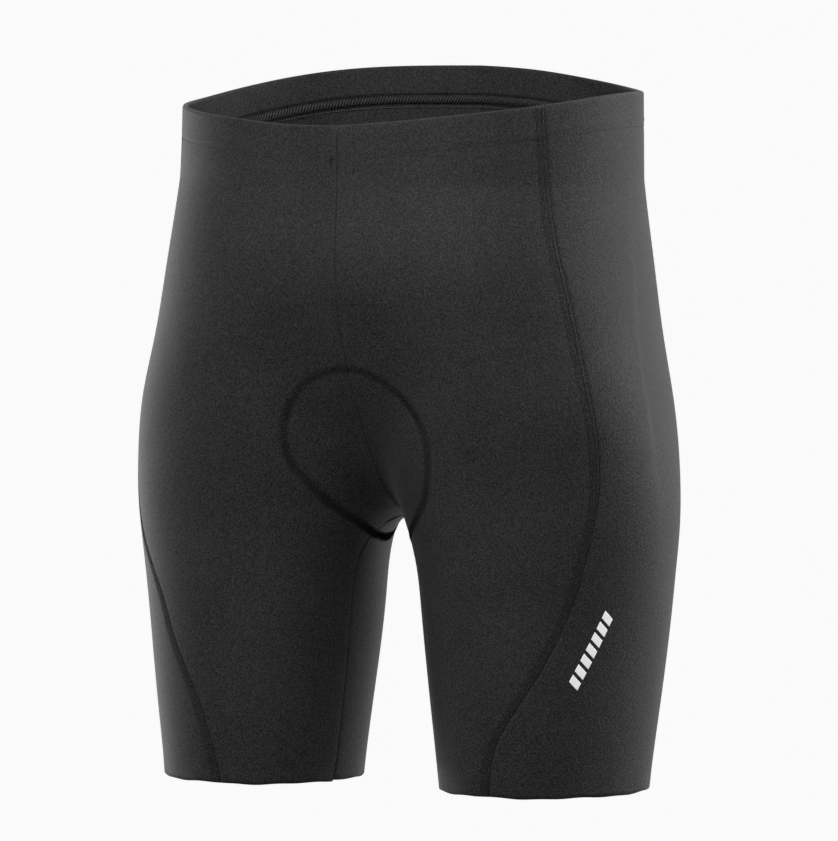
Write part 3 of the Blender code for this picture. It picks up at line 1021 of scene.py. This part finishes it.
def front_bartack():
    """The small bar of stitches beside the centre seam under the casing, and its tail."""
    parts = []
    drop = np.linspace(CASING - 1.0, CASING + 6.0, 12)
    away = np.tile([4.2, 5.4], 6)
    tail_drop, tail_away = np.full(6, CASING + 1.4), np.linspace(0.3, 4.6, 6)
    for at, out, radius in ((drop, away, 0.3), (tail_drop, tail_away, 0.2)):
        share = out / RING[0]
        parts.append(tube(place_on(-1, below_rim(-1, at, share), share, 1.0 + 0 * at), radius, 5))
    points, faces = joined(parts)
    return piece("front_bartack", points, faces, needle_thread)


STRIP_ENDS = ((46.75, 0.3075), (41.2, 0.3655))
STRIP_SEGMENTS, STRIP_WIDTH, STRIP_GAP, STRIP_SLANT = 7, 7.4, 2.4, 0.35


def strip_print():
    """A plain broken strip of pale film on the left leg, behind the side seam."""
    (row_a, share_a), (row_b, share_b) = STRIP_ENDS
    t = np.linspace(0, 1, 400)
    spine = on_grid(row_a + (row_b - row_a) * t, share_a + (share_b - share_a) * t)
    length = lengths(spine) / MM
    pitch = (length[-1] + STRIP_GAP) / STRIP_SEGMENTS
    ahead = unit(spine[-1] - spine[0])
    parts = []
    for k in range(STRIP_SEGMENTS):
        at = k * pitch + np.linspace(0, pitch - STRIP_GAP, 10)
        w = np.linspace(-0.5, 0.5, 8) * STRIP_WIDTH
        run = at[None, :] + STRIP_SLANT * w[:, None]
        spot = np.stack([np.interp(run, length, spine[:, c]) for c in range(3)], -1)
        beyond = run - np.clip(run, 0, length[-1])
        spot = spot + ahead * beyond[..., None] * MM
        across = unit(np.cross(normal(spot), ahead))
        spot = settle(spot + across * w[:, None, None] * MM, 2)
        up = normal(spot)
        parts.append(wall(spot - up * 0.05 * MM, spot + up * 0.12 * MM))
    points, faces = joined(parts)
    return piece("strip_print", points, faces, film())


# The pad's thickness at its edge, what its crown adds, and its distance from the panels.
PAD_EDGE, PAD_CROWN, PAD_OFF = 1.2, 8.0, 0.75

# The channel along its middle: its share of the thickness, and its width in 40ths of half
# the pad's width.
CHANNEL_DEPTH, CHANNEL_WIDTH = 0.35, 5


def seat_pad():
    """Moulded pad: crowned foam with a shallow centre channel and a thin stitched edge."""
    across = np.linspace(-1, 1, TRACK.shape[1])
    ends = np.sin(np.pi * PAD_SHARE)[:, None] ** 0.6
    channel = CHANNEL_DEPTH * bump(across * 40, CHANNEL_WIDTH)
    channel = channel * step_up(PAD_SHARE, 0.1, 0.3)[:, None]
    channel = channel * (1 - step_up(PAD_SHARE, 0.75, 0.95))[:, None]
    thick = PAD_EDGE + PAD_CROWN * ends * (1 - np.abs(across) ** 2.6) * (1 - channel)
    outer = TRACK - facing(TRACK) * (KNIT + PAD_OFF) * MM
    inner = outer - facing(TRACK) * thick[..., None] * MM
    points, faces = wall(outer, inner)
    thing = piece("seat_pad_foam", points, faces, pad_cloth)
    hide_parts("seat_pad")
    return thing


# Pieces

PANELS = [
    # name, side, at_front, material, node, flat width, flat length, flat area
    ("panel_front_left", 1, True, knit_front, "front_left", 0.190, 0.450, 0.0580),
    ("panel_front_right", -1, True, knit_front, "front_right", 0.215, 0.450, 0.0670),
    ("panel_back_left", 1, False, knit_back, "back_left", 0.345, 0.480, 0.1350),
    ("panel_back_right", -1, False, knit_back, "back_right", 0.320, 0.480, 0.1230),
]
GOES_WITH = {
    "panel_front_left": [side_stitching(1), side_cover(1)],
    "panel_front_right": [
        side_stitching(-1), side_cover(-1), pad_stitching(), casing_stitching(), front_bartack(),
    ],
    "panel_back_left": [strip_print()],
    "panel_back_right": [],
}
for name, side, at_front, material, node, width, length, area in PANELS:
    made = panel(name, side, at_front, material)
    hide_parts(node)
waist_elastic()
waist_overlock()
seat_pad()

# Stage, light and camera

AZIMUTH, ELEVATION = np.radians(25.0), np.radians(4.0)
DISTANCE = 5.0
PIXELS_PER_METRE = 1565.0
PICTURE = (838, 841)
ORIGIN_PIXEL = (412.0, 115.2)


def camera():
    """A camera at the photograph's viewing angle, shifted sideways and down to its framing."""
    level = np.cos(ELEVATION)
    back = Vector((np.sin(AZIMUTH) * level, -np.cos(AZIMUTH) * level, np.sin(ELEVATION)))
    right = Vector((np.cos(AZIMUTH), np.sin(AZIMUTH), 0))
    up = back.cross(right)
    aside = (PICTURE[0] / 2 - ORIGIN_PIXEL[0]) / PIXELS_PER_METRE
    down = (PICTURE[1] / 2 - ORIGIN_PIXEL[1]) / PIXELS_PER_METRE
    data = bpy.data.cameras.new("camera")
    data.sensor_fit = "VERTICAL"
    data.sensor_height = 36
    data.lens = 36 * PIXELS_PER_METRE * DISTANCE / PICTURE[1]
    data.clip_end = 50
    thing = bpy.data.objects.new("camera", data)
    bpy.context.scene.collection.objects.link(thing)
    turn = Matrix((right, up, back)).transposed().to_4x4()
    thing.matrix_world = Matrix.Translation(right * aside - up * down + back * DISTANCE) @ turn
    bpy.context.scene.camera = thing


def area_light(name, azimuth, height, reach, size, power):
    """A soft light aimed at the shorts; azimuth 0 is in front, 90 at the wearer's left."""
    data = bpy.data.lights.new(name, "AREA")
    data.shape = "RECTANGLE"
    data.size, data.size_y = size
    data.energy = power
    thing = bpy.data.objects.new(name, data)
    bpy.context.scene.collection.objects.link(thing)
    thing.visible_camera = False
    turn = np.radians(azimuth)
    thing.location = (np.sin(turn) * reach, -np.cos(turn) * reach, height)
    aim = Vector((0, 0, -0.2)) - thing.location
    thing.rotation_euler = aim.to_track_quat("-Z", "Y").to_euler()


BACKDROP_SIDES = 64
GLOW_OF_BACKDROP, GREY_OF_BACKDROP = 0.90, 0.3


def backdrop():
    """A plain pale floor far below that curves up into a round wall and ceiling."""
    floor, radius, bend = -5.6, 8.0, 2.5
    line = [(0.5, floor), (2.5, floor), (radius - bend, floor)]
    for turn in np.radians(np.linspace(0, 90, 10)[1:]):
        line.append((radius - bend + bend * np.sin(turn), floor + bend * (1 - np.cos(turn))))
    line += [(radius, 0.0), (radius, 4.0), (radius - 1, 6.5), (radius - 3, 8.0), (0.5, 8.5)]
    around = np.linspace(0, 2 * np.pi, BACKDROP_SIDES, endpoint=False)
    points = [(r * np.cos(a), r * np.sin(a), z) for r, z in line for a in around]
    faces = grid_faces(len(line), BACKDROP_SIDES, 0, True).tolist()
    faces.append(list(range(BACKDROP_SIDES))[::-1])
    faces.append([len(points) - BACKDROP_SIDES + k for k in range(BACKDROP_SIDES)])
    mesh = bpy.data.meshes.new("backdrop")
    mesh.from_pydata(points, [], faces)
    mesh.polygons.foreach_set("use_smooth", [True] * len(mesh.polygons))
    material, _, shader = nodes_of("backdrop")
    shader.inputs["Emission Color"].default_value = (1, 1, 1, 1)
    shader.inputs["Emission Strength"].default_value = GLOW_OF_BACKDROP
    shader.inputs["Base Color"].default_value = (*[GREY_OF_BACKDROP] * 3, 1)
    shader.inputs["Roughness"].default_value = 0.9
    mesh.materials.append(material)
    thing = bpy.data.objects.new("backdrop", mesh)
    bpy.context.scene.collection.objects.link(thing)
    thing.visible_diffuse = thing.visible_glossy = thing.visible_shadow = False


# Where the glow's rise starts and ends from front to back, and its strength at both.
GLOW = (0.19, 0.875, 0.17, 0.93)


def studio_glow():
    """Soft light from all round, strongest from behind the shorts."""
    world = bpy.data.worlds.new("studio")
    world.use_nodes = True
    tree = world.node_tree
    new, link = tree.nodes.new, tree.links.new
    place = new("ShaderNodeTexCoord")
    turn = new("ShaderNodeMapping")
    turn.inputs["Rotation"].default_value = (0, 0, -AZIMUTH)
    parts = new("ShaderNodeSeparateXYZ")
    glow = new("ShaderNodeMapRange")
    glow.interpolation_type = "SMOOTHSTEP"
    for socket, value in zip(("From Min", "From Max", "To Min", "To Max"), GLOW):
        glow.inputs[socket].default_value = value
    link(place.outputs["Generated"], turn.inputs["Vector"])
    link(turn.outputs[0], parts.inputs[0])
    link(parts.outputs["Y"], glow.inputs["Value"])
    link(glow.outputs[0], tree.nodes["Background"].inputs["Strength"])
    tree.nodes["Background"].inputs["Color"].default_value = (1, 1, 1, 1)
    bpy.context.scene.world = world


LIGHTS = [
    # name, azimuth, height, distance, size, power
    ("front_high", 2, 0.7, 1.2, (0.7, 0.7), 9.4),
    ("front_left", 45, 0.5, 1.2, (0.7, 0.7), 1.0),
    ("side_left", 100, 0.2, 2.8, (1.4, 1.4), 7.0),
    ("behind_left_high", 120, 0.5, 1.2, (0.7, 0.7), 8.8),
    ("behind_left_low", 130, -0.3, 1.2, (0.7, 0.7), 2.4),
    ("front_right", -30, 0.9, 2.8, (1.4, 1.4), 7.0),
    ("side_right", -80, -0.3, 1.2, (0.7, 0.7), 0.9),
    ("behind_right", -110, -0.3, 1.2, (0.7, 0.7), 2.6),
]
backdrop()
studio_glow()
for light in LIGHTS:
    area_light(*light)
bpy.context.scene.view_settings.view_transform = "Standard"
camera()
